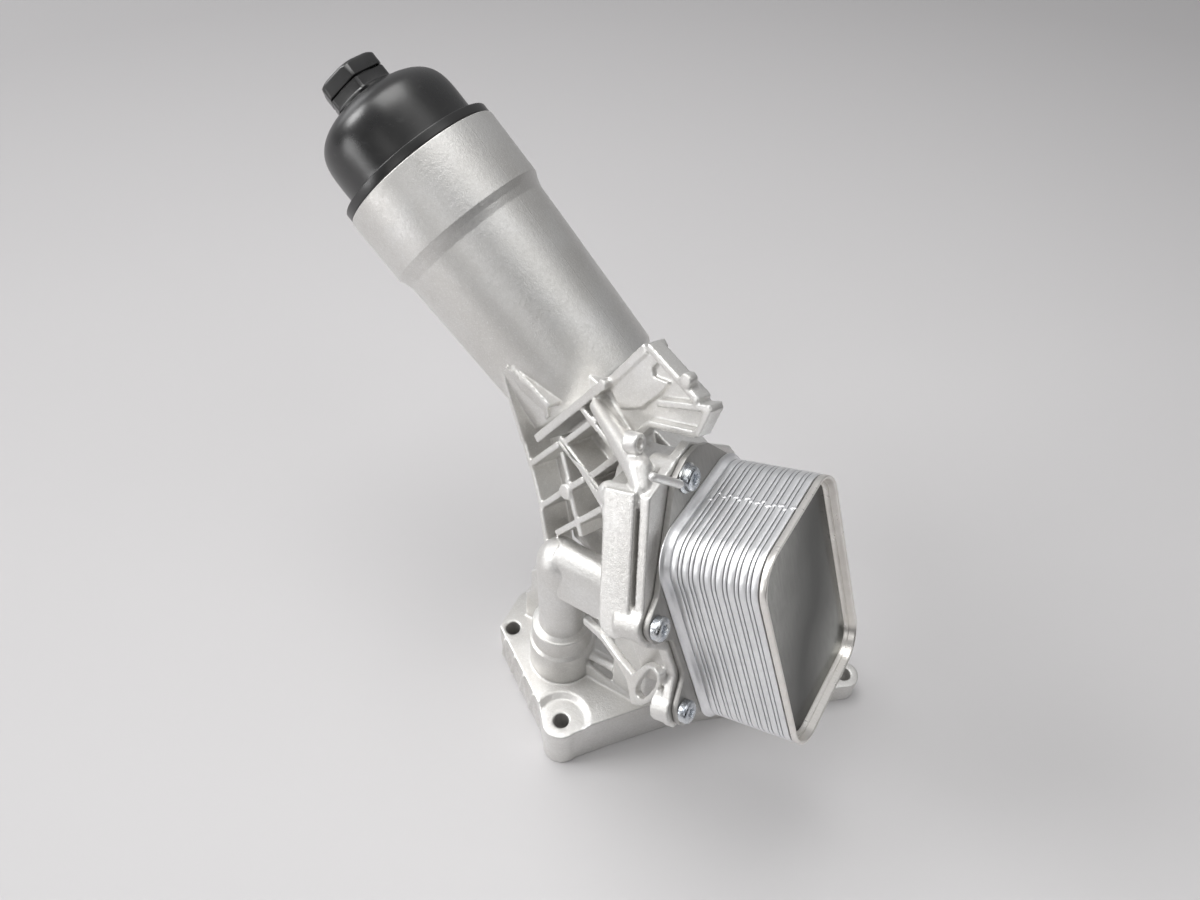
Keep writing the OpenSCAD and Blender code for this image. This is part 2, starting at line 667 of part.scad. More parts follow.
module filter_media() {
    color("tan") on_can() translate([0, 0, element_z + end_cap_t])
        linear_extrude(element_len - 2 * end_cap_t) difference() {
            polygon([for (i = [0:2 * pleats - 1]) let (r = i % 2 == 0 ? media_r : pleat_foot_r)
                [r * cos(i * 180 / pleats), r * sin(i * 180 / pleats)]]);
            circle(core_r + core_t + fit);
        }
}

module upper_end_cap() {
    color("darkgreen") on_can() translate([0, 0, element_top_z - end_cap_t]) difference() {
        union() {
            cylinder(h = end_cap_t, r = element_r);
            cylinder(h = clip_h, r = clip_r - cap_wall / 2 - gap);
        }
        translate([0, 0, end_cap_t]) cylinder(h = clip_h, r = clip_r - 2 * cap_wall);
    }
}

module lower_end_cap() {
    color("darkgreen") on_can() translate([0, 0, element_z]) {
        difference() {
            cylinder(h = end_cap_t, r = element_r);
            translate([0, 0, -over]) cylinder(h = end_cap_t + 2 * over, r = seal_outer_r);
        }
        // stopper that closes the drain hole while the element is in
        translate([drain_offset, 0, -element_foot]) cylinder(h = element_foot + over,
            r = drain_r - gap);
    }
}

module element_seal() {
    color("dimgray") on_can() translate([0, 0, element_z]) difference() {
        cylinder(h = end_cap_t, r = seal_outer_r - fit);
        translate([0, 0, -over]) cylinder(h = end_cap_t + 2 * over, r = standpipe_r + gap);
    }
}

module core_tube() {
    color("darkgreen") on_can() translate([0, 0, element_z + end_cap_t + fit]) difference() {
        cylinder(h = element_len - 2 * end_cap_t - 2 * fit, r = core_r + core_t);
        translate([0, 0, -over]) cylinder(h = element_len, r = core_r);
        for (z = [1:core_rows], a = [0:core_windows - 1])
            translate([0, 0, (z - 0.5) * (element_len - 2 * end_cap_t) / core_rows])
                rotate([0, 0, (a + (z % 2) / 2) * 360 / core_windows])
                    translate([core_r - over, -core_window_w / 2, -core_window_h / 2])
                        cube([core_t + 2 * over, core_window_w, core_window_h]);
    }
}

module standpipe() {
    color("black") on_can() translate([0, 0, floor_z - standpipe_foot_t]) difference() {
        union() {
            translate([0, 0, fit]) cylinder(h = standpipe_foot_t, r = standpipe_foot_r - fit);
            translate([0, 0, fit]) cylinder(h = standpipe_len + standpipe_foot_t - 2 * fit,
                r = standpipe_r);
        }
        translate([0, 0, -over]) cylinder(h = standpipe_len + standpipe_foot_t + 2 * over,
            r = standpipe_bore_r);
    }
}

// cage that sits on the top of the standpipe and holds the bypass valve
module valve_cage() {
    color("black") on_can() translate([0, 0, cage_z]) difference() {
        cylinder(h = cage_h, r = cage_r);
        translate([0, 0, seat_t]) cylinder(h = cage_h - 2 * seat_t, r = cage_r - cage_wall);
        translate([0, 0, -over]) cylinder(h = cage_h + 2 * over, r = standpipe_bore_r);
        for (a = [0:3]) rotate([0, 0, a * 90 + 45]) translate([0, -cage_r / 4,
            seat_t + poppet_t + poppet_lift]) cube([2 * cage_r, cage_r / 2,
                cage_h - 2 * seat_t - 2 * poppet_t - 2 * poppet_lift]);
    }
}

module valve_poppet() {
    color("white") on_can() translate([0, 0, cage_z + seat_t + fit]) {
        cylinder(h = poppet_t, r = poppet_r);
        cylinder(h = cage_h - 2 * seat_t - valve_stroke - gap,
            r = standpipe_bore_r - 2 * spring_wire_r - 2 * gap);
    }
}

module valve_spring() {
    color("lightgray") on_can() translate([0, 0, cage_z + seat_t + poppet_t + 2 * gap])
        linear_extrude(cage_h - 2 * seat_t - poppet_t - 3 * gap, twist = -360 * spring_turns,
            slices = 40, $fn = 8) translate([poppet_r - 2 * spring_wire_r, 0])
                square(spring_wire_r * 1.6, center = true);
}

module screw_place(s) {
    translate([pad_point(s)[0], pad_point(s)[1], 0]) children();
}

module cooler_mounting_plate() {
    color("gray") on_pad() difference() {
        translate([0, 0, gap]) linear_extrude(mount_plate_t)
            polygon([for (s = mount_plate_shares) pad_point(s)]);
        for (s = screw_shares) screw_place(s) translate([0, 0, -over])
            cylinder(h = mount_plate_t + 2 * over, r = screw_r + gap);
        for (s = port_shares) screw_place(s) translate([0, 0, -over])
            cylinder(h = mount_plate_t + 2 * over, r = port_r);
    }
}

module cooler_base_plate() {
    color("silver") on_pad() translate([0, 0, gap + mount_plate_t]) difference() {
        linear_extrude(base_plate_t) plate_plan(plate_l + 2 * plate_step,
            plate_w + 2 * plate_step, plate_corner_r + plate_step);
        for (s = port_shares) screw_place(s) translate([0, 0, -over])
            cylinder(h = base_plate_t + 2 * over, r = port_r);
    }
}

// one pressed plate: a shallow tray with four ports
module cooler_plate(i) {
    z = stack_z + ceil(i / 2) * wide_pitch + floor(i / 2) * narrow_pitch;
    h = (i % 2 == 0 ? wide_pitch : narrow_pitch) - gap;
    color("gainsboro") on_pad() translate([0, 0, z]) difference() {
        union() {
            linear_extrude(plate_foot_h) plate_plan(plate_l - 2 * plate_step,
                plate_w - 2 * plate_step, plate_corner_r - plate_step);
            translate([0, 0, plate_foot_h]) linear_extrude(h - plate_foot_h)
                plate_plan(plate_l, plate_w, plate_corner_r);
        }
        translate([0, 0, sheet_t]) linear_extrude(h) plate_plan(plate_l - 4 * plate_step,
            plate_w - 4 * plate_step, plate_corner_r - 2 * plate_step);
        for (s = port_shares) screw_place(s) translate([0, 0, -over])
            cylinder(h = h + 2 * over, r = port_r);
    }
}

module cooler_end_tray() {
    color("dimgray") on_pad() translate([0, 0, stack_z + stack_h]) difference() {
        union() {
            linear_extrude(tray_h) plate_plan(plate_l, plate_w, plate_corner_r);
            translate([0, 0, -tray_sink]) linear_extrude(tray_sink + over)
                plate_plan(tray_pan_l, tray_pan_w, tray_pan_r);
        }
        translate([0, 0, tray_floor_t - tray_sink]) linear_extrude(tray_h + tray_sink)
            plate_plan(tray_pan_l - 2 * tray_floor_t, tray_pan_w - 2 * tray_floor_t,
                tray_pan_r - tray_floor_t);
        translate([0, 0, tray_h / 2]) linear_extrude(tray_h)
            plate_plan(plate_l - 2 * tray_rim_w, plate_w - 2 * tray_rim_w,
                plate_corner_r - tray_rim_w);
    }
}

module cooler_screws() {
    color("lightsteelblue") on_pad() for (i = [0:len(screw_shares) - 1])
        screw_place(screw_shares[i]) translate([0, 0, 2 * gap + mount_plate_t]) difference() {
            union() {
                translate([0, 0, -screw_len]) cylinder(h = screw_len + over, r = screw_r);
                cylinder(h = screw_head_r * 0.8, r = screw_head_r);
                cylinder(h = screw_head_r * 0.3, r = i == 2 ? screw_flange_r : screw_head_r);
            }
            translate([0, 0, screw_head_r * 0.35]) cylinder(h = screw_head_r,
                r = screw_head_r * 0.5, $fn = 6);
        }
}

module cooler_port_seals() {
    color("dimgray") on_pad() for (s = port_shares) screw_place(s)
        translate([0, 0, port_seal_cord_r - seal_groove_h + fit]) rotate_extrude()
            translate([port_r + port_seal_cord_r + 2 * gap, 0]) circle(port_seal_cord_r);
}

// moulded gasket that lies in a groove of the mounting face
module gasket_plan(w) {
    for (c = [[0, 0], [return_port_x, return_port_y]]) translate([c[0], c[1]]) difference() {
        circle(riser_bore_r + gasket_offset + w / 2);
        circle(riser_bore_r + gasket_offset - w / 2);
    }
}

module flange_gasket() {
    color("black") translate([0, 0, gap / 2]) linear_extrude(gasket_t) gasket_plan(gasket_w);
}

housing_casting();
filter_cap();
cap_seal_ring();
filter_media();
upper_end_cap();
lower_end_cap();
element_seal();
core_tube();
standpipe();
valve_cage();
valve_poppet();
valve_spring();
cooler_mounting_plate();
cooler_base_plate();
cooler_end_tray();
cooler_screws();
cooler_port_seals();
flange_gasket();
cooler_plate(0);  // cooler_plate_01
cooler_plate(1);  // cooler_plate_02
cooler_plate(2);  // cooler_plate_03
cooler_plate(3);  // cooler_plate_04
cooler_plate(4);  // cooler_plate_05
cooler_plate(5);  // cooler_plate_06
cooler_plate(6);  // cooler_plate_07
cooler_plate(7);  // cooler_plate_08
cooler_plate(8);  // cooler_plate_09
cooler_plate(9);  // cooler_plate_10
cooler_plate(10);  // cooler_plate_11
cooler_plate(11);  // cooler_plate_12
cooler_plate(12);  // cooler_plate_13
cooler_plate(13);  // cooler_plate_14
cooler_plate(14);  // cooler_plate_15
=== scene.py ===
import math
import bpy
import bmesh
import numpy as np
from mathutils import Matrix, Vector


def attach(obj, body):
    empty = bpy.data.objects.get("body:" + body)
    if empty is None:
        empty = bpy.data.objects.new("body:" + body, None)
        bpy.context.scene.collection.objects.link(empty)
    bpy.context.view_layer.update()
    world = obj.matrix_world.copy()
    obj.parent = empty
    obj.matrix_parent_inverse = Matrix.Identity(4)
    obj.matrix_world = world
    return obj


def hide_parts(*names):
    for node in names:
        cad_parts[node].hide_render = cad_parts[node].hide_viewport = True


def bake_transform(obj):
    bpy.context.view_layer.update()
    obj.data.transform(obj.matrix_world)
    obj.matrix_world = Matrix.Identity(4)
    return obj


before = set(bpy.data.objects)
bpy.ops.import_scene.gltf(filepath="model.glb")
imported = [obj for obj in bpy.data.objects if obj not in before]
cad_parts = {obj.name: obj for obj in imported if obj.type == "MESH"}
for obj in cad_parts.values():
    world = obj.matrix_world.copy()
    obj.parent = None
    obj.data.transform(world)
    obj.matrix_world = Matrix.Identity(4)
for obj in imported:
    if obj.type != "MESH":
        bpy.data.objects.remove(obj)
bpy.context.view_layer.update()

MM = 0.001
rad = math.radians

# ---------------------------------------------------------------- frames of the model, in mm
RIM = (-137.0, 81.0, 281.4)
CAN = Matrix.Translation(RIM) @ Matrix.Rotation(rad(175.7), 4, "Z") @ Matrix.Rotation(rad(51.0), 4, "Y")
PAD = Matrix.Translation((85.7, 10.8, 159.3)) @ Matrix.Rotation(rad(90 - 18.8), 4, "Y")
LAT = (Matrix.Translation((-68, 41, 196)) @ Matrix.Rotation(rad(-109.05), 4, "Z")
       @ Matrix.Rotation(rad(75.04), 4, "Y"))
WORLD = Matrix.Identity(4)
# place of the faint parting line round the can
SEAM_DEG = -175.2
# the photograph: its width and the focal length that was solved for, both in pixels
PHOTO_W, FOCAL_PX, SENSOR_MM = 1200, 919.349, 36.0


# ---------------------------------------------------------------- camera, as in the photograph
def make_camera():
    data = bpy.data.cameras.new("camera")
    data.sensor_fit = "HORIZONTAL"
    data.sensor_width = SENSOR_MM
    data.lens = FOCAL_PX / PHOTO_W * SENSOR_MM
    data.clip_start, data.clip_end = 0.02, 30
    cam = bpy.data.objects.new("camera", data)
    bpy.context.scene.collection.objects.link(cam)
    right, up, back = (0.85005, 0.52646, 0.01630), (-0.39379, 0.61467, 0.68347), (0.34980, -0.58739, 0.72981)
    m = Matrix((right, up, back)).transposed().to_4x4()
    m.translation = (0.167524, -0.242682, 0.533516)
    cam.matrix_world = m
    bpy.context.scene.camera = cam
    return cam


# ---------------------------------------------------------------- materials
class Mat:
    """A node material with its texture space on the object's own coordinates, in metres."""

    def __init__(self, name):
        self.m = bpy.data.materials.new(name)
        self.m.use_nodes = True
        self.t = self.m.node_tree
        self.b = self.t.nodes["Principled BSDF"]
        self.co = self.t.nodes.new("ShaderNodeTexCoord").outputs["Object"]
        self.height = None

    def node(self, kind, **sets):
        n = self.t.nodes.new(kind)
        for k, v in sets.items():
            if k in n.inputs:
                n.inputs[k].default_value = v
            else:
                setattr(n, k, v)
        return n

    def link(self, a, b):
        self.t.links.new(a, b)

    def noise(self, scale, detail=3.0, rough=0.55, stretch=None):
        n = self.node("ShaderNodeTexNoise")
        n.inputs["Scale"].default_value = scale
        n.inputs["Detail"].default_value = detail
        n.inputs["Roughness"].default_value = rough
        if stretch:
            mp = self.node("ShaderNodeMapping")
            mp.inputs["Scale"].default_value = stretch
            self.link(self.co, mp.inputs["Vector"])
            self.link(mp.outputs[0], n.inputs["Vector"])
        else:
            self.link(self.co, n.inputs["Vector"])
        return n.outputs["Fac"]

    def cells(self, scale):
        n = self.node("ShaderNodeTexVoronoi")
        n.inputs["Scale"].default_value = scale
        self.link(self.co, n.inputs["Vector"])
        return n.outputs["Distance"]

    def ramp(self, fac, stops):
        n = self.node("ShaderNodeValToRGB")
        e = n.color_ramp.elements
        while len(e) < len(stops):
            e.new(0.5)
        for el, (p, c) in zip(e, stops):
            el.position = p
            el.color = (*c, 1) if len(c) == 3 else c
        self.link(fac, n.inputs["Fac"])
        return n.outputs["Color"]

    def span(self, fac, a, b, c, d):
        n = self.node("ShaderNodeMapRange")
        for i, v in enumerate((a, b, c, d)):
            n.inputs[i + 1].default_value = v
        self.link(fac, n.inputs[0])
        return n.outputs[0]

    def mix(self, fac, a, b):
        n = self.node("ShaderNodeMix", data_type="RGBA")
        ins = [s for s in n.inputs if s.type == "RGBA"]
        for s, v in ((n.inputs["Factor"], fac), (ins[0], a), (ins[1], b)):
            if isinstance(v, (int, float)):
                s.default_value = v
            elif isinstance(v, tuple):
                s.default_value = (*v, 1)
            else:
                self.link(v, s)
        return [s for s in n.outputs if s.type == "RGBA"][0]

    def math(self, op, a, b=None):
        n = self.node("ShaderNodeMath", operation=op)
        for s, v in zip(n.inputs, (a, b)):
            if v is None:
                continue
            if isinstance(v, (int, float)):
                s.default_value = v
            else:
                self.link(v, s)
        return n.outputs[0]

    def bump(self, fac, strength, distance):
        n = self.node("ShaderNodeBump")
        n.inputs["Strength"].default_value = strength
        n.inputs["Distance"].default_value = distance
        self.link(fac, n.inputs["Height"])
        if self.height is not None:
            self.link(self.height, n.inputs["Normal"])
        self.height = n.outputs["Normal"]
        self.link(self.height, self.b.inputs["Normal"])

    def edges(self, low, high):
        """1 on sharp outer edges, 0 elsewhere; with low above high, 1 in hollows. The cast metal paints highlights and
        shade with it.
        """
        g = self.node("ShaderNodeNewGeometry")
        return self.span(g.outputs["Pointiness"], low, high, 0.0, 1.0)

    def set(self, **sets):
        names = {"metallic": "Metallic", "roughness": "Roughness", "color": "Base Color",
                 "spec": "Specular IOR Level"}
        for k, v in sets.items():
            s = self.b.inputs[names[k]]
            if isinstance(v, (int, float)):
                s.default_value = v
            elif isinstance(v, tuple):
                s.default_value = (*v, 1)
            else:
                self.link(v, s)
        return self


def cast_metal(name="cast_aluminium", edges=True, seam=None):
    m = Mat(name)
    grain = m.noise(1500, 2.0, 0.6)
    sand = m.noise(520, 3.0, 0.6)
    cloud = m.noise(22, 4.0, 0.6)
    col = m.ramp(cloud, [(0.32, (0.70, 0.685, 0.66)), (0.50, (0.765, 0.755, 0.735)), (0.68, (0.82, 0.815, 0.805))])
    col = m.mix(m.span(sand, 0.35, 0.65, 0.0, 0.22), col, (0.60, 0.59, 0.57))
    col = m.mix(m.span(grain, 0.56, 0.72, 0.0, 0.6), col, (0.95, 0.95, 0.94))
    pits = m.span(m.cells(240), 0.0, 0.12, 1.0, 0.0)
    spots = m.span(m.noise(60, 2.0), 0.58, 0.66, 0.0, 1.0)
    pits = m.math("MULTIPLY", pits, spots)
    col = m.mix(m.math("MULTIPLY", pits, 0.35), col, (0.36, 0.35, 0.34))
    if edges:
        # painted highlight on convex edges, partly real edge wear
        col = m.mix(m.math("MULTIPLY", m.edges(0.52, 0.58), 0.35), col, (0.92, 0.92, 0.91))
        # painted shade in hollows and creases
        col = m.mix(m.math("MULTIPLY", m.edges(0.485, 0.43), 0.45), col, (0.42, 0.41, 0.39))
    if seam:
        # faint parting line, in the plane through the axis with this normal
        dot = m.node("ShaderNodeVectorMath", operation="DOT_PRODUCT")
        m.link(m.co, dot.inputs[0])
        dot.inputs[1].default_value = seam[0]
        away = m.math("ABSOLUTE", m.math("SUBTRACT", dot.outputs["Value"], seam[1]))
        line = m.span(away, 0.00008, 0.00022, 1.0, 0.0)
        col = m.mix(m.math("MULTIPLY", line, 0.45), col, (0.50, 0.49, 0.47))
        m.bump(line, 0.3, 0.0002)
    m.set(color=col, metallic=0.80, roughness=m.span(sand, 0.3, 0.7, 0.35, 0.49))
    m.bump(grain, 0.42, 0.00025)
    m.bump(sand, 0.34, 0.0004)
    m.bump(cloud, 0.10, 0.0015)
    return m.m


def cap_plastic():
    m = Mat("cap_plastic")
    fine = m.noise(1100, 3.0, 0.6)
    broad = m.noise(38, 4.0, 0.6)
    scuff = m.noise(150, 3.0, 0.65, stretch=(1.0, 1.0, 3.0))
    col = m.ramp(broad, [(0.35, (0.007, 0.007, 0.0075)), (0.65, (0.014, 0.0137, 0.0135))])
    dust = m.span(m.cells(300), 0.0, 0.055, 1.0, 0.0)
    col = m.mix(m.math("MULTIPLY", dust, 0.45), col, (0.34, 0.34, 0.33))
    col = m.mix(m.span(scuff, 0.60, 0.78, 0.0, 0.22), col, (0.10, 0.10, 0.10))
    m.set(color=col, metallic=0.0, roughness=m.span(broad, 0.3, 0.7, 0.26, 0.35), spec=0.9)
    m.bump(fine, 0.12, 0.00010)
    m.bump(broad, 0.07, 0.0008)
    return m.m


def sheet_metal(name, light, dark, rough, bump=0.18):
    """Rolled and brazed aluminium sheet: fine streaks and soft stains."""
    m = Mat(name)
    streak = m.noise(160, 4.0, 0.6, stretch=(1.0, 6.0, 1.0))
    cloud = m.noise(30, 3.0, 0.6)
    grain = m.noise(1300, 2.0, 0.5)
    col = m.ramp(cloud, [(0.30, dark), (0.70, light)])
    col = m.mix(m.span(streak, 0.4, 0.7, 0.0, 0.25), col, tuple(0.82 * c for c in dark))
    col = m.mix(m.span(grain, 0.64, 0.8, 0.0, 0.4), col, tuple(min(1, 1.12 * c) for c in light))
    m.set(color=col, metallic=0.9, roughness=m.span(streak, 0.3, 0.7, rough - 0.06, rough + 0.07))
    m.bump(grain, bump, 0.00015)
    m.bump(cloud, 0.05, 0.0010)
    return m.m


def tray_floor_metal():
    """Dark rolled sheet with a broad diagonal band of painted dark reflection."""
    m = Mat("tray_floor_sheet")
    streak = m.noise(120, 4.0, 0.6, stretch=(1.0, 5.0, 1.0))
    cloud = m.noise(14, 2.0, 0.5)
    sep = m.node("ShaderNodeSeparateXYZ")
    m.link(m.co, sep.inputs[0])
    up = m.math("MULTIPLY", m.math("SUBTRACT", sep.outputs["Z"], 0.174), 8.4)
    across = m.math("MULTIPLY", m.math("SUBTRACT", sep.outputs["Y"], 0.012), -12.6)
    wave = m.math("MULTIPLY", m.math("SUBTRACT", cloud, 0.5), 0.6)
    reflection_band = m.math("ABSOLUTE", m.math("ADD", m.math("ADD", up, across), wave))
    # painted reflection: the floor is darker along the diagonal band, lighter away from it
    col = m.ramp(reflection_band, [(0.05, (0.055, 0.056, 0.052)), (0.24, (0.13, 0.132, 0.124)), (0.60, (0.36, 0.365, 0.345))])
    col = m.mix(m.span(streak, 0.4, 0.7, 0.0, 0.25), col, (0.10, 0.10, 0.095))
    dust = m.span(m.cells(260), 0.0, 0.05, 1.0, 0.0)
    col = m.mix(m.math("MULTIPLY", dust, 0.35), col, (0.6, 0.6, 0.58))
    m.set(color=col, metallic=0.9, roughness=m.span(streak, 0.3, 0.7, 0.17, 0.25))
    m.bump(streak, 0.06, 0.0003)
    return m.m


def zinc():
    m = Mat("zinc_plate")
    fine = m.noise(900, 3.0, 0.6)
    cloud = m.noise(120, 3.0, 0.6)
    col = m.ramp(cloud, [(0.3, (0.50, 0.54, 0.60)), (0.55, (0.66, 0.68, 0.70)), (0.75, (0.70, 0.69, 0.62))])
    m.set(color=col, metallic=1.0, roughness=m.span(fine, 0.3, 0.7, 0.20, 0.32))
    m.bump(fine, 0.12, 0.0001)
    return m.m


def rubber():
    m = Mat("rubber")
    fine = m.noise(700, 3.0)
    col = m.ramp(fine, [(0.3, (0.018, 0.018, 0.018)), (0.7, (0.035, 0.034, 0.033))])
    m.set(color=col, roughness=m.span(fine, 0.3, 0.7, 0.5, 0.65))
    m.bump(fine, 0.2, 0.0001)
    return m.m


def plastic(name, light, dark, rough=0.45):
    m = Mat(name)
    fine = m.noise(800, 3.0)
    broad = m.noise(40, 2.0)
    col = m.ramp(broad, [(0.3, dark), (0.7, light)])
    m.set(color=col, roughness=m.span(fine, 0.3, 0.7, rough - 0.06, rough + 0.08))
    m.bump(fine, 0.15, 0.00012)
    return m.m


def paper():
    m = Mat("filter_paper")
    fibre = m.noise(900, 5.0, 0.7, stretch=(1.0, 1.0, 0.3))
    broad = m.noise(60, 3.0)
    col = m.ramp(fibre, [(0.3, (0.52, 0.40, 0.22)), (0.7, (0.68, 0.55, 0.34))])
    col = m.mix(m.span(broad, 0.4, 0.7, 0.0, 0.3), col, (0.60, 0.48, 0.30))
    m.set(color=col, roughness=0.85)
    m.bump(fibre, 0.35, 0.0003)
    return m.m


CAST = cast_metal()
SEAM_N = (CAN.to_3x3() @ Vector((-math.sin(rad(SEAM_DEG)), math.cos(rad(SEAM_DEG)), 0)))
TURNED = cast_metal("cast_aluminium_turned", False, (tuple(SEAM_N), MM * SEAM_N.dot(Vector(RIM))))
CAP = cap_plastic()
PLATES = sheet_metal("plate_sheet", (0.90, 0.905, 0.92), (0.82, 0.825, 0.84), 0.40, 0.30)
TRAY_RIM = sheet_metal("tray_rim_sheet", (0.90, 0.88, 0.85), (0.82, 0.79, 0.75), 0.32)
TRAY_FLOOR = tray_floor_metal()
MOUNT = sheet_metal("mount_sheet", (0.50, 0.495, 0.48), (0.42, 0.41, 0.395), 0.50)
ZINC = zinc()
STEEL = sheet_metal("spring_steel", (0.55, 0.56, 0.57), (0.46, 0.46, 0.47), 0.28)
RUBBER = rubber()
GREEN = plastic("element_plastic", (0.03, 0.16, 0.08), (0.02, 0.11, 0.05))
BLACK = plastic("standpipe_plastic", (0.05, 0.05, 0.055), (0.03, 0.03, 0.032))
WHITE = plastic("poppet_plastic", (0.72, 0.70, 0.65), (0.64, 0.62, 0.57))
PAPER = paper()


# ---------------------------------------------------------------- mesh helpers, all in mm
def new_object(name, verts, faces, material, matrix=WORLD):
    me = bpy.data.meshes.new(name)
    me.from_pydata([tuple(MM * c for c in (matrix @ Vector(v))) for v in verts], [], faces)
    me.validate()
    me.update()
    me.shade_smooth()
    ob = bpy.data.objects.new(name, me)
    bpy.context.scene.collection.objects.link(ob)
    if material is not None:
        me.materials.append(material)
    return ob


def lathe(profile, segs):
    """Vertices and faces of a closed turned shape about Z. The profile is (r, z) all the way round."""
    verts = [(r * math.cos(2 * math.pi * i / segs), r * math.sin(2 * math.pi * i / segs), z)
             for r, z in profile for i in range(segs)]
    faces = []
    for k in range(len(profile)):
        a, b = k * segs, (k + 1) % len(profile) * segs
        for i in range(segs):
            j = (i + 1) % segs
            faces.append((a + i, a + j, b + j, b + i))
    return verts, faces


def fillet(p, radii, steps=5):
    """Rounds the corners of a profile. radii has one number for each point, 0 keeps it sharp."""
    out = []
    n = len(p)
    for i, (q, r) in enumerate(zip(p, radii)):
        if r <= 0 or i in (0, n - 1):
            out.append(tuple(q))
            continue
        a, b, c = Vector(p[i - 1]), Vector(q), Vector(p[i + 1])
        u, v = (a - b), (c - b)
        lu, lv = u.length, v.length
        if lu < 1e-6 or lv < 1e-6:
            out.append(tuple(q))
            continue
        u, v = u / lu, v / lv
        ang = math.acos(max(-1, min(1, u.dot(v))))
        if ang > math.pi - 0.02:
            out.append(tuple(q))
            continue
        t = min(r / math.tan(ang / 2), 0.48 * lu, 0.48 * lv)
        s, e = b + u * t, b + v * t
        for k in range(steps + 1):
            w = k / steps
            out.append(tuple((1 - w) ** 2 * s + 2 * w * (1 - w) * b + w * w * e))
    return out


def rounded_rect(length, width, r, n=18, cx=0.0, cy=0.0):
    """Outline in the pad's plane: x along the length, y along the width."""
    pts = []
    for qx, qy, a0 in ((1, 1, 0), (-1, 1, 90), (-1, -1, 180), (1, -1, 270)):
        for k in range(n + 1):
            a = rad(a0 + 90 * k / n)
            pts.append((cx + qx * (length / 2 - r) + r * math.cos(a), cy + qy * (width / 2 - r) + r * math.sin(a)))
    return pts


def sweep_outline(rings):
    """Closed skin over a list of rings, each a list of 3-D points with the same count."""
    n = len(rings[0])
    verts = [p for r in rings for p in r]
    faces = []
    for k in range(len(rings) - 1):
        for i in range(n):
            j = (i + 1) % n
            faces.append((k * n + i, k * n + j, (k + 1) * n + j, (k + 1) * n + i))
    faces.append(tuple(reversed(range(n))))
    faces.append(tuple(range((len(rings) - 1) * n, len(rings) * n)))
    return verts, faces


def smooth_mesh(co, edges, steps, weight=0.5):
    """Plain neighbour smoothing of vertices."""
    n = len(co)
    a, b = edges[:, 0], edges[:, 1]
    deg = np.bincount(a, minlength=n) + np.bincount(b, minlength=n)
    deg = np.maximum(deg, 1)
    for _ in range(steps):
        s = np.empty_like(co)
        for c in range(3):
            s[:, c] = (np.bincount(a, weights=co[b, c], minlength=n)
                       + np.bincount(b, weights=co[a, c], minlength=n)) / deg
        co = co + weight * (s - co)
    return co


def cast_skin(name, node, extras, voxel, steps, limit, material):
    """One cast skin over a node and the small forms added to it, with rounded edges and fillets."""
    bm = bmesh.new()
    bm.from_mesh(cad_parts[node].data)
    bmesh.ops.remove_doubles(bm, verts=bm.verts, dist=1e-6)
    for ob in extras:
        bm.from_mesh(ob.data)
    me = bpy.data.meshes.new(name)
    bm.to_mesh(me)
    bm.free()
    for ob in extras:
        bpy.data.objects.remove(ob)
    ob = bpy.data.objects.new(name, me)
    bpy.context.scene.collection.objects.link(ob)
    md = ob.modifiers.new("remesh", "REMESH")
    md.mode, md.voxel_size, md.adaptivity = "VOXEL", voxel * MM, 0.0
    dg = bpy.context.evaluated_depsgraph_get()
    out = bpy.data.meshes.new_from_object(ob.evaluated_get(dg))
    ob.modifiers.clear()
    ob.data = out
    co = np.empty(len(out.vertices) * 3, np.float32)
    out.vertices.foreach_get("co", co)
    ed = np.empty(len(out.edges) * 2, np.int32)
    out.edges.foreach_get("vertices", ed)
    co = smooth_mesh(co.reshape(-1, 3).astype(float), ed.reshape(-1, 2), steps)
    out.vertices.foreach_set("co", co.astype(np.float32).ravel())
    out.update()
    tris = sum(len(p.vertices) - 2 for p in out.polygons)
    if tris > limit:
        md = ob.modifiers.new("thin", "DECIMATE")
        md.ratio = limit / tris
        dg = bpy.context.evaluated_depsgraph_get()
        out = bpy.data.meshes.new_from_object(ob.evaluated_get(dg))
        ob.modifiers.clear()
        ob.data = out
    out.shade_smooth()
    out.materials.clear()
    out.materials.append(material)
    print("skin", name, "tris", tris, "kept", sum(len(p.vertices) - 2 for p in out.polygons))
    return ob


make_camera()

# ---------------------------------------------------------------- housing casting
extras = []


def extra(verts, faces, matrix=WORLD):
    extras.append(new_object("extra", verts, faces, None, matrix=matrix))


def turned(name, profile, matrix, segs=224):
    """A closed turned skin of the casting, as its own piece."""
    verts, faces = lathe(profile, segs)
    ob = new_object(name, verts, faces, TURNED, matrix=matrix)
    bm = bmesh.new()
    bm.from_mesh(ob.data)
    bmesh.ops.recalc_face_normals(bm, faces=bm.faces)
    bm.to_mesh(ob.data)
    bm.free()
    ob.data.set_sharp_from_angle(angle=rad(40))
    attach(ob, "housing")
    return ob


COLLAR_R, COLLAR_H, CAN_R, DRAFT, CAN_LEN = 46.2, 37.0, 43.2, 3.2, 147.0
FLANGE_H = 34.5
BAR_CAP = 6  # steps of each round end of a bar


def capsule(p, q, rp, rq, matrix=WORLD, segs=28):
    """A closed tapered bar with round ends between two points."""
    a, b = Vector(p), Vector(q)
    axis = (b - a).normalized()
    side = axis.orthogonal().normalized()
    other = axis.cross(side)
    rings = []
    for c, r, lo, hi in ((a, rp, -85, 0), (b, rq, 0, 85)):
        for k in range(BAR_CAP + 1):
            t = rad(lo + (hi - lo) * k / BAR_CAP)
            m = c + axis * (r * math.sin(t))
            rings.append([m + (side * math.cos(2 * math.pi * i / segs) + other * math.sin(2 * math.pi * i / segs))
                          * (r * math.cos(t)) for i in range(segs)])
    verts, faces = sweep_outline([[tuple(v) for v in r] for r in rings])
    extra(verts, faces, matrix)


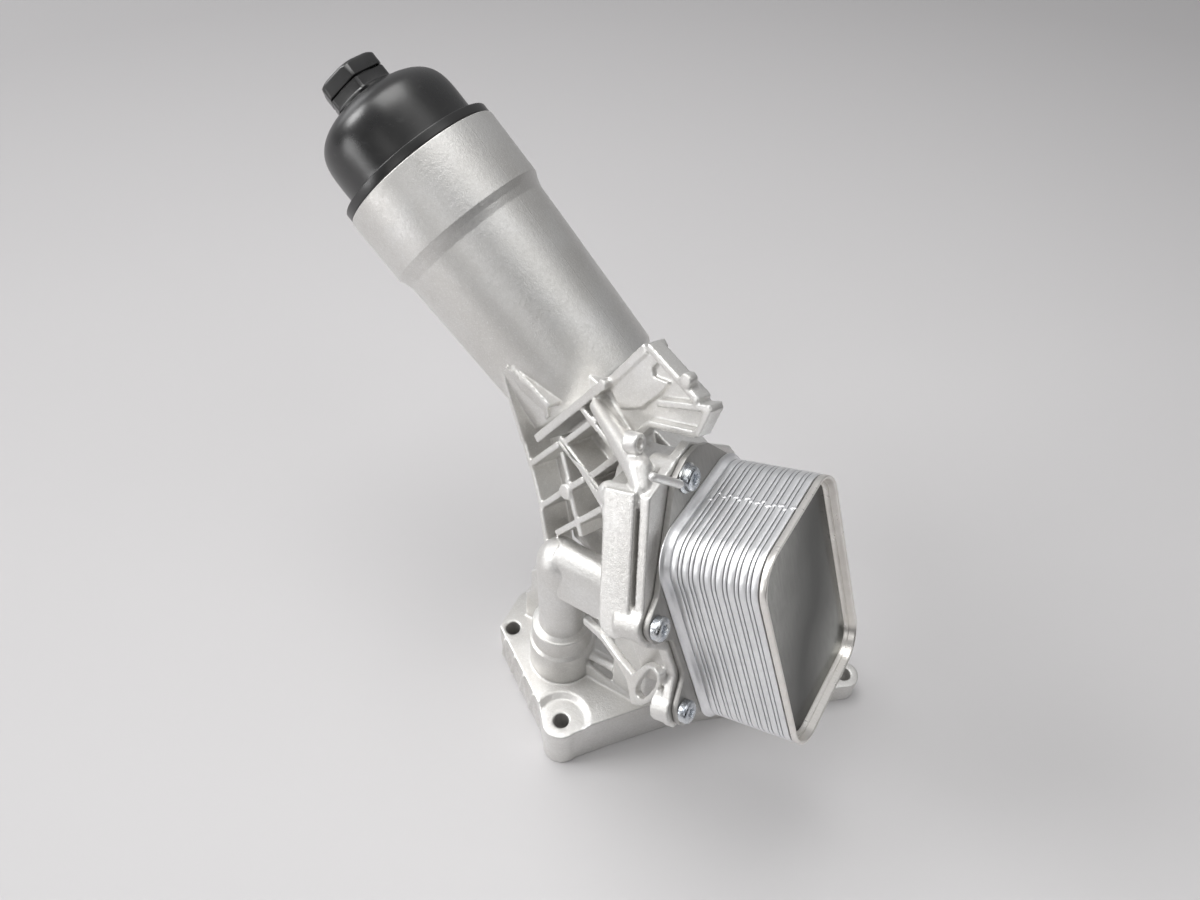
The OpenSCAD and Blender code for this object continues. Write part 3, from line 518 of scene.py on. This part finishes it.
def web(points, thick):
    """A closed thin web: a flat polygon of 3-D points with a thickness."""
    pts = [Vector(v) for v in points]
    n = (pts[1] - pts[0]).cross(pts[2] - pts[0]).normalized()
    lo, hi = [v - n * thick / 2 for v in pts], [v + n * thick / 2 for v in pts]
    k = len(pts)
    verts = [tuple(v) for v in lo + hi]
    faces = [tuple(reversed(range(k))), tuple(range(k, 2 * k))]
    faces += [(i, (i + 1) % k, k + (i + 1) % k, k + i) for i in range(k)]
    extra(verts, faces)


# the arm from the lattice to the channel's head, with its rounded shoulder
capsule((6.0, 24.5, 230.5), (28.0, 8.5, 234.5), 3.4, 5.2)
capsule((28.0, 8.5, 234.5), (46.5, -6.0, 238.5), 5.2, 6.4)
capsule((46.5, -6.0, 238.5), (52.0, -13.0, 236.0), 6.4, 4.4)
capsule((38.0, -15.5, 227.0), (50.5, -15.5, 231.2), 5.9, 5.9)
# threaded boss that faces as the pad does
boss_at = PAD @ Matrix.Translation((-98.5, -12.0, -10.5))
extra(*lathe([(2.2, -7), (5.0, -7), (4.6, -0.6), (4.1, 0.0), (2.9, 0.0), (2.2, -0.8)], 48), boss_at)
# pin beside the upper screw
capsule((-98.5, -30.0, 5.9), (-81.5, -14.6, 5.9), 2.0, 2.1, PAD)
# zigzag stiffening on the block's left side
ZIGS, ZIG_FIRST, ZIG_STEP = 8, 0.04, 0.118
ZIG_LOW, ZIG_HIGH, ZIG_R = 4.5, FLANGE_H - 2.2, 1.25
SIDE_A, SIDE_B = Vector((-45.2, -4.3)), Vector((5.8, -35.3))
for k in range(ZIGS):
    ends = []
    for t, high in ((k, k % 2), (k + 1, (k + 1) % 2)):
        w = SIDE_A.lerp(SIDE_B, ZIG_FIRST + t * ZIG_STEP)
        ends.append((w.x, w.y, ZIG_HIGH if high else ZIG_LOW))
    capsule(ends[0], ends[1], ZIG_R, ZIG_R, segs=12)
# pointed web whose tip stands before the channel
web([(-10.2, 15.2, 206.4), (22.6, 1.7, 199.7), (40.5, -24.0, 219.5), (34.3, -15.1, 224.0), (8.0, 4.0, 213.0)], 2.2)
# the second web on the can's side
web([(-53.8, 33.0, 221.5), (-28.3, 33.0, 206.0), (-26.5, 31.5, 200.0), (-34.0, 36.0, 190.0), (-50.0, 44.0, 205.0)], 2.6)
# the turned forms of the casting stand a hair proud of its skin, so that their steps stay crisp
can_out = fillet(
    [(41.6, -1.4), (43.2, 0.03), (COLLAR_R + 0.16, 0.03), (COLLAR_R - 0.06, -COLLAR_H + 0.4), (44.55, -COLLAR_H - 3.3),
     (CAN_R + 0.18, -COLLAR_H - 7.4),
     (CAN_R - DRAFT + 0.18, -CAN_LEN + 4.4), (CAN_R - DRAFT - 5, -CAN_LEN - 0.12), (27, -CAN_LEN - 0.12)],
    [0, 0.4, 0.7, 1.2, 4.0, 5.0, 5.0, 3.0, 0], 7)
can_in = [(27, -CAN_LEN + 2.4), (38.6, -CAN_LEN + 3.5), (38.9, -30), (41.4, -27)]
turned("can_turning", can_out + can_in, CAN)
RISER_R, RISER_TOP, RISER_IN = 12.98, 132.0, 11.9
riser_out = fillet(
    [(19.2, 27.0), (19.75, 30.0), (19.68, 59.0), (17.62, 60.5), (17.56, 73.2), (13.2, 75.6), (RISER_R, RISER_TOP)],
    [0, 0, 0.9, 0.8, 0.8, 1.2, 0], 5)
riser_out += [(RISER_R * math.cos(rad(5 * k)), RISER_TOP + RISER_R * math.sin(rad(5 * k))) for k in range(1, 18)]
riser_in = [(1.1, 144.0)]
riser_in += [(RISER_IN * math.cos(rad(a)), RISER_TOP - 0.5 + RISER_IN * math.sin(rad(a)))
             for a in (75, 60, 45, 30, 15, 0)]
riser_in += [(12.0, 77.0), (16.4, 72.0), (16.4, 60.0), (18.4, 57.5), (18.4, 27.0)]
turned("riser_turning", riser_out + riser_in, WORLD)
VOXEL, QUICK_VOXEL, SMOOTH_STEPS, SKIN_TRIS = 0.68, 1.6, 2, 196000
skin = cast_skin("housing_skin", "housing_casting", extras, VOXEL,
                 SMOOTH_STEPS, SKIN_TRIS, CAST)
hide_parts("housing_casting")
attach(skin, "housing")


# ---------------------------------------------------------------- plates with holes
def offset_ring(points, d):
    """A closed outline in the plane, moved outwards by d along its corner normals."""
    out, n = [], len(points)
    area = sum(points[i][0] * points[(i + 1) % n][1] - points[(i + 1) % n][0] * points[i][1] for i in range(n))
    sign = 1 if area > 0 else -1
    for i in range(n):
        a, b, c = Vector(points[i - 1][:2]), Vector(points[i][:2]), Vector(points[(i + 1) % n][:2])
        u, v = (b - a), (c - b)
        if u.length < 1e-6 or v.length < 1e-6:
            u = v = (c - a)
        u.normalize()
        v.normalize()
        t = (u + v).normalized()
        k = 1 / max(0.5, t.dot(u))
        out.append((b.x + sign * t.y * d * k, b.y - sign * t.x * d * k))
    return out


def round_outline(points, r, steps=6):
    """Rounds every corner of a closed outline."""
    n = len(points)
    wide = [points[-1]] + list(points) + [points[0]]
    out = []
    for i in range(1, n + 1):
        seg = fillet([wide[i - 1], wide[i], wide[i + 1]], [0, r, 0], steps)
        out += seg[1:-1]
    return [(q[0], q[1]) for q in out]


HOLE_SEGS = 40


def plate(name, outline, profile, holes, material, floor_material=None):
    """A closed plate. profile is a list of (outward offset, z) from the underside round the rim to the top side."""
    bm = bmesh.new()

    def put(x, y, z):
        q = PAD @ Vector((x, y, z))
        return bm.verts.new(tuple(MM * c for c in q))
    rings = [[put(x, y, z) for x, y in offset_ring(outline, d)] for d, z in profile]
    n = len(outline)
    for lo, hi in zip(rings, rings[1:]):
        for i in range(n):
            j = (i + 1) % n
            bm.faces.new((lo[i], lo[j], hi[j], hi[i]))
    low, top = ([[put(x + r * math.cos(2 * math.pi * k / HOLE_SEGS), y + r * math.sin(2 * math.pi * k / HOLE_SEGS), h)
                  for k in range(HOLE_SEGS)] for x, y, r in holes] for h in (profile[0][1], profile[-1][1]))
    for lo, hi in zip(low, top):
        for k in range(HOLE_SEGS):
            j = (k + 1) % HOLE_SEGS
            bm.faces.new((hi[k], hi[j], lo[j], lo[k]))
    floor = []
    for ring, circles in ((rings[0], low), (rings[-1], top)):
        edges = []
        for loop in [ring] + circles:
            m = len(loop)
            for k in range(m):
                e = bm.edges.get((loop[k], loop[(k + 1) % m]))
                edges.append(e if e else bm.edges.new((loop[k], loop[(k + 1) % m])))
        if circles:
            got = bmesh.ops.triangle_fill(bm, edges=edges, use_beauty=True, use_dissolve=False)
            floor = [g for g in got["geom"] if isinstance(g, bmesh.types.BMFace)]
        else:
            floor = [bm.faces.new(ring)]
    bmesh.ops.recalc_face_normals(bm, faces=bm.faces)
    if floor_material is not None:
        for f in floor:
            f.material_index = 1
    for f in bm.faces:
        f.smooth = True
    me = bpy.data.meshes.new(name)
    bm.to_mesh(me)
    bm.free()
    ob = bpy.data.objects.new(name, me)
    bpy.context.scene.collection.objects.link(ob)
    me.materials.append(material)
    if floor_material is not None:
        me.materials.append(floor_material)
    me.set_sharp_from_angle(angle=rad(34))
    return ob


def pad_xy(s):
    return (-s[1] * 100.0, s[0] * 100.0)


GAP, MOUNT_T, BASE_T = 0.3, 3.0, 4.5
STACK_Z = 2 * GAP + MOUNT_T + BASE_T
WIDE, NARROW, PLATE_COUNT = 3.42, 1.97, 15
PL, PW, PR, CX, CY = 120.6, 76.2, 16.5, -3.1, -1.9
PORTS = [(*pad_xy(s), 8.0) for s in ((-0.17, 0.36), (0.17, 0.36), (-0.17, -0.36), (0.17, -0.36))]
SCREWS = [pad_xy(s) for s in ((-0.535, 0.31), (-0.54, -0.27), (-0.055, 0.77), (0.535, 0.09), (0.54, -0.27))]
MOUNT_OUT = [pad_xy(s) for s in (
    (-0.13, 0.82), (-0.02, 0.85), (0.08, 0.84), (0.17, 0.79), (0.38, 0.52), (0.45, 0.30), (0.60, 0.17), (0.60, 0.01),
    (0.46, -0.07), (0.46, -0.13), (0.60, -0.22), (0.60, -0.34), (0.46, -0.40), (0.28, -0.60), (-0.26, -0.60),
    (-0.44, -0.42), (-0.60, -0.34), (-0.58, -0.22), (-0.455, -0.12), (-0.455, 0.14), (-0.58, 0.24), (-0.60, 0.35),
    (-0.46, 0.42))]


def add(ob, body, slot, *nodes):
    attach(ob, body)
    if nodes:
        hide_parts(*nodes)
    return ob


TAB_ROWS, TAB_SEGS = 7, 12
stack_plan = rounded_rect(PL, PW, PR, 16, CX, CY)
mount = plate("cooler_mounting_sheet", round_outline(MOUNT_OUT, 7.0, 5),
              [(-0.5, GAP), (-0.12, GAP + 0.12), (0, GAP + 0.5), (0, GAP + 2.4), (-0.2, GAP + 2.85), (-0.7, GAP + 3.0)],
              PORTS + [(x, y, 3.3) for x, y in SCREWS], MOUNT)
add(mount, "housing", "cooler_sheet", "cooler_mounting_plate")
z = GAP + MOUNT_T
base = plate("cooler_base_sheet", stack_plan,
             [(1.9, z), (2.3, z + 0.25), (2.3, z + 0.75), (1.9, z + 1.0), (1.25, z + 1.3), (0.75, z + 1.9), (0.45, z + 2.7),
              (0.25, z + 3.6), (0.05, z + 4.1), (-0.4, z + 4.4), (-1.2, z + 4.5)], PORTS, PLATES)
add(base, "housing", "cooler_sheet", "cooler_base_plate")
for i in range(PLATE_COUNT):
    z = STACK_Z + math.ceil(i / 2) * WIDE + (i // 2) * NARROW
    h = (WIDE if i % 2 == 0 else NARROW) - GAP
    prof = [(-1.9, z), (-0.9, z), (-0.38, z + 0.04), (-0.10, z + 0.14), (0.0, z + 0.32), (0.05, z + h * 0.5),
            (0.0, z + h - 0.24), (-0.07, z + h - 0.08), (-0.30, z + h), (-1.0, z + h),
            (-1.5, z + h - 0.3), (-2.2, z + 0.8), (-2.8, z + 0.5)]
    ob = plate("cooler_sheet_%02d" % (i + 1), stack_plan, prof, PORTS, PLATES)
    add(ob, "housing", "cooler_sheet", "cooler_plate_%02d" % (i + 1))
    # small brazed tab on the short side of each plate
    ty = -2.6 if i == 0 else 1.6 + 1.1 * math.sin(i * 2.3)
    v, f = [], []
    for a in range(TAB_ROWS):
        th = math.pi * (a - TAB_ROWS // 2) / TAB_ROWS
        for b in range(TAB_SEGS):
            ph = 2 * math.pi * b / TAB_SEGS
            v.append((CX - PL / 2 - 0.05 + 0.55 * math.cos(th) * math.cos(ph) * -1,
                      ty + 1.15 * math.cos(th) * math.sin(ph), z + h * 0.72 + (0.85 * h / 2 + 0.35) * math.sin(th)))
    for a in range(TAB_ROWS - 1):
        for b in range(TAB_SEGS):
            c = (b + 1) % TAB_SEGS
            f.append((a * TAB_SEGS + b, a * TAB_SEGS + c, (a + 1) * TAB_SEGS + c, (a + 1) * TAB_SEGS + b))
    f += [tuple(reversed(range(TAB_SEGS))), tuple(range((TAB_ROWS - 1) * TAB_SEGS, TAB_ROWS * TAB_SEGS))]
    add(new_object("cooler_tab_%02d" % (i + 1), v, f, PLATES, matrix=PAD), "housing", "cooler_sheet")

z = STACK_Z + 8 * WIDE + 7 * NARROW
tray = plate("cooler_tray", stack_plan,
             [(-4.2, z - 2.6), (-3.5, z - 2.5), (-3.1, z - 2.0), (-2.7, z - 0.1), (-1.9, z), (-1.2, z + 0.05), (-1.05, z + 0.22),
              (-0.4, z + 0.32), (-0.1, z + 0.5), (0.0, z + 0.8), (0.0, z + 2.7), (-0.08, z + 3.1), (-0.35, z + 3.4),
              (-0.8, z + 3.5), (-1.25, z + 3.4), (-1.55, z + 3.1), (-1.75, z + 2.6), (-2.25, z - 1.2), (-2.5, z - 1.75),
              (-2.95, z - 2.05), (-3.7, z - 2.15)], [], TRAY_RIM, floor_material=TRAY_FLOOR)
add(tray, "housing", "tray_sheet", "cooler_end_tray")


# ---------------------------------------------------------------- screws of the cooler
def screw(name, x, y, flange):
    segs = 96

    def lobe(t):
        return 2.35 + 0.36 * math.cos(6 * t)
    z0 = 2 * GAP + MOUNT_T
    head = [(3.0, -11.4), (3.0, -0.02), (5.2, 0.0), (5.6, 0.25), (5.6, 3.0), (5.42, 3.6), (4.95, 4.05), (4.2, 4.35),
            (3.5, 4.46), (3.05, 4.48)]
    if flange:
        head = head[:2] + [(6.6, 0.0), (7.0, 0.2), (7.0, 0.6), (6.6, 0.9), (5.8, 1.25), (5.6, 1.7)] + head[4:]
    rings = [[(r * math.cos(2 * math.pi * k / segs), r * math.sin(2 * math.pi * k / segs), q) for k in range(segs)]
             for r, q in head]
    for dr, q in ((0.12, 4.42), (0.0, 4.25), (-0.05, 2.0), (-0.4, 1.6)):
        rings.append([((lobe(2 * math.pi * k / segs) + dr) * math.cos(2 * math.pi * k / segs),
                       (lobe(2 * math.pi * k / segs) + dr) * math.sin(2 * math.pi * k / segs), q) for k in range(segs)])
    verts, faces = sweep_outline([[(x + px, y + py, z0 + pz) for px, py, pz in r] for r in rings])
    ob = new_object(name, verts, faces, ZINC, matrix=PAD)
    ob.data.set_sharp_from_angle(angle=rad(50))
    return ob


for k, (x, y) in enumerate(SCREWS):
    ob = screw("cooler_screw_%d" % (k + 1), x, y, k == 2)
    add(ob, "housing", "zinc_steel", *(["cooler_screws"] if k == 0 else []))


# ---------------------------------------------------------------- cap
def hex_radius(t, apothem, corner):
    """Radius of a hexagon with rounded corners at the angle t."""
    a = (t + math.pi / 6) % (math.pi / 3) - math.pi / 6
    return min(apothem / math.cos(a), corner)


def cap_piece():
    segs = 360
    flange_r, cap_r, cap_h, power = 45.78, 39.4, 45.0, 6.5
    outer = [(36.2, 3.0), (36.2, -19.6), (36.8, -20.0), (40.6, -20.0), (41.1, -19.5), (41.1, -7.9), (40.8, -7.7),
             (37.9, -7.7), (37.9, -4.3), (40.8, -4.3), (41.1, -4.1), (41.1, 0.3)]
    outer += fillet([(41.1, 0.3), (flange_r, 0.3), (flange_r, 5.2), (cap_r, 5.2), (cap_r, 9.0)],
                    [0, 0.7, 0.55, 1.2, 0], 5)[1:]
    for t in range(1, 61):
        u = math.sin(t * math.pi / 2 / 60)
        if u * cap_h > 9.5 and (1 - u ** power) > 0:
            r = cap_r * math.sqrt(1 - u ** power)
            if r > 17.5:
                outer.append((r, u * cap_h))
    rings = [[(r * math.cos(2 * math.pi * k / segs), r * math.sin(2 * math.pi * k / segs), z) for k in range(segs)]
             for r, z in outer]

    def hexagon(apothem, corner, z, blend=0.0, rr=17.0):
        out = []
        for k in range(segs):
            t = 2 * math.pi * k / segs
            r = (1 - blend) * hex_radius(t, apothem, corner) + blend * rr
            out.append((r * math.cos(t), r * math.sin(t), z))
        return out
    rings += [hexagon(16.4, 18.6, cap_h - 0.25, 0.55, 18.6), hexagon(16.15, 18.2, cap_h + 0.5, 0.15, 17.5),
              hexagon(16.0, 18.0, cap_h + 1.2), hexagon(16.0, 18.0, cap_h + 5.9), hexagon(15.75, 17.75, cap_h + 6.2),
              hexagon(14.9, 14.9, cap_h + 6.35), hexagon(14.9, 14.9, cap_h + 6.95), hexagon(15.75, 17.75, cap_h + 7.1),
              hexagon(16.0, 18.0, cap_h + 7.4), hexagon(16.0, 18.0, cap_h + 13.2), hexagon(15.9, 17.5, cap_h + 13.9),
              hexagon(15.6, 16.7, cap_h + 14.6), hexagon(15.2, 15.9, cap_h + 14.95), hexagon(14.2, 14.5, cap_h + 15.0)]
    verts, faces = sweep_outline(rings)
    # the inside: the last face closes the top, and the first ring is joined to a dome
    n, m = segs, len(rings)
    faces = faces[:-2] + [faces[-1]]
    dome = []
    for t in range(0, 40):
        u = math.sin(t * math.pi / 2 / 40)
        if u * 41.8 > 3.6:
            dome.append((36.2 * math.sqrt(1 - u ** power), u * 41.8))
    base_i = len(verts)
    for r, z in dome:
        verts += [(r * math.cos(2 * math.pi * k / segs), r * math.sin(2 * math.pi * k / segs), z) for k in range(segs)]
    prev = list(range(n))
    for d in range(len(dome)):
        cur = list(range(base_i + d * n, base_i + (d + 1) * n))
        for k in range(n):
            j = (k + 1) % n
            faces.append((cur[k], cur[j], prev[j], prev[k]))
        prev = cur
    faces.append(tuple(reversed(prev)))
    ob = new_object("cap_moulding", verts, faces, CAP, matrix=CAN)
    ob.data.set_sharp_from_angle(angle=rad(38))
    return ob


add(cap_piece(), "cap", "black_plastic", "filter_cap")


# ---------------------------------------------------------------- spring of the bypass valve
def valve_coil():
    """A fixed coil of round wire over the length of the valve spring, which is pressed together as the valve opens."""
    to_can = CAN.inverted()
    own = [to_can @ (v.co / MM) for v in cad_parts["valve_spring"].data.vertices]
    lo, hi = min(v.z for v in own), max(v.z for v in own)
    wire, turns, steps, segs = 0.6, 4, 144, 12
    big = max(math.hypot(v.x, v.y) for v in own) - wire
    rings = []
    for k in range(steps + 1):
        a = 2 * math.pi * turns * k / steps
        mid = Vector((big * math.cos(a), big * math.sin(a), lo + wire + (hi - lo - 2 * wire) * k / steps))
        out = Vector((math.cos(a), math.sin(a), 0))
        rings.append([tuple(mid + out * wire * math.cos(2 * math.pi * i / segs)
                            + Vector((0, 0, wire * math.sin(2 * math.pi * i / segs)))) for i in range(segs)])
    verts, faces = sweep_outline(rings)
    ob = new_object("valve_coil", verts, faces, STEEL, matrix=CAN)
    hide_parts("valve_spring")
    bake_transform(ob)


valve_coil()


# ---------------------------------------------------------------- floor, lights, world
def make_stage():
    me = bpy.data.meshes.new("floor")
    me.from_pydata([(-4, -4, -0.0005), (4, -4, -0.0005), (4, 4, -0.0005), (-4, 4, -0.0005)], [], [(0, 1, 2, 3)])
    floor = bpy.data.objects.new("floor", me)
    bpy.context.scene.collection.objects.link(floor)
    m = Mat("floor_paper")
    broad = m.noise(2.0, 2.0)
    # painted light falloff: the floor colour is darker away from a point near the object
    away = m.node("ShaderNodeTexGradient", gradient_type="SPHERICAL")
    place = m.node("ShaderNodeMapping")
    place.inputs["Location"].default_value = (-0.11, 0.06, 0.0)
    place.inputs["Scale"].default_value = (0.45, 0.45, 0.45)
    m.link(m.co, place.inputs["Vector"])
    m.link(place.outputs[0], away.inputs["Vector"])
    near = m.ramp(broad, [(0.3, (0.675, 0.665, 0.67)), (0.7, (0.695, 0.685, 0.69))])
    col = m.mix(m.span(away.outputs["Fac"], 0.35, 0.92, 0.0, 1.0), (0.515, 0.505, 0.51), near)
    m.set(color=col, roughness=0.75, spec=0.2)
    me.materials.append(m.m)

    def area(name, at, target, size, power, colour=(1, 1, 1)):
        data = bpy.data.lights.new(name, "AREA")
        data.shape, data.size, data.size_y = "RECTANGLE", size[0], size[1]
        data.energy, data.color = power, colour
        ob = bpy.data.objects.new(name, data)
        bpy.context.scene.collection.objects.link(ob)
        ob.location = at
        ob.rotation_mode = "QUATERNION"
        ob.rotation_quaternion = (Vector(target) - Vector(at)).to_track_quat("-Z", "Y")
        return ob

    area("key", (-3.05, -1.75, 2.75), (0, 0, 0.15), (1.7, 1.7), 82, (1.0, 1.0, 1.0))
    area("rim", (-2.60, 0.35, 1.15), (-0.1, 0.05, 0.2), (1.1, 1.1), 6.0, (0.98, 0.99, 1.0))
    area("side", (-0.98, -1.40, 0.36), (-0.1, 0.05, 0.25), (0.6, 0.55), 3.8, (1.0, 1.0, 1.0))
    area("top", (-0.25, 0.09, 1.50), (0.02, 0.0, 0.1), (0.85, 0.85), 8.2, (1.0, 0.995, 0.985))
    area("right", (1.55, 0.25, 1.95), (0.0, 0.0, 0.2), (1.5, 1.5), 7.0, (1.0, 1.0, 0.99))
    area("front", (0.52, -1.75, 1.15), (-0.05, 0.0, 0.22), (0.9, 0.9), 3.2, (1.0, 0.99, 0.98))
    world = bpy.data.worlds.new("studio")
    bpy.context.scene.world = world
    world.use_nodes = True
    t = world.node_tree
    bg = t.nodes["Background"]
    bg.inputs["Strength"].default_value = 1.0
    tc = t.nodes.new("ShaderNodeTexCoord")
    dot = t.nodes.new("ShaderNodeVectorMath")
    dot.operation = "DOT_PRODUCT"
    dot.inputs[1].default_value = (-0.52, 0.28, 0.80)
    t.links.new(tc.outputs["Generated"], dot.inputs[0])
    mr = t.nodes.new("ShaderNodeMapRange")
    for i, v in enumerate((-0.35, 0.85, 0.0, 1.0)):
        mr.inputs[i + 1].default_value = v
    t.links.new(dot.outputs["Value"], mr.inputs[0])
    rp = t.nodes.new("ShaderNodeValToRGB")
    rp.color_ramp.elements[0].color = (0.020, 0.020, 0.020, 1)
    rp.color_ramp.elements[1].color = (0.46, 0.46, 0.465, 1)
    t.links.new(mr.outputs[0], rp.inputs["Fac"])
    t.links.new(rp.outputs["Color"], bg.inputs["Color"])


make_stage()
bpy.context.scene.view_settings.view_transform = "Standard"

# ---------------------------------------------------------------- materials of the carried-over nodes
LOOK = {
    "cooler_mounting_plate": MOUNT, "cooler_base_plate": PLATES, "cooler_end_tray": TRAY_RIM,
    "cooler_screws": ZINC, "cooler_port_seals": RUBBER, "flange_gasket": RUBBER, "cap_seal_ring": RUBBER,
    "element_seal": RUBBER, "filter_cap": CAP, "filter_media": PAPER, "upper_end_cap": GREEN,
    "lower_end_cap": GREEN, "core_tube": GREEN, "standpipe": BLACK, "valve_cage": BLACK,
    "valve_poppet": WHITE, "valve_spring": STEEL, "housing_casting": CAST,
}
for name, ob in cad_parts.items():
    mat = LOOK.get(name, PLATES if name.startswith("cooler_plate_") else CAST)
    if not ob.data.materials:
        ob.data.materials.append(mat)
    for slot in ob.material_slots:
        slot.link = "OBJECT"
        slot.material = mat
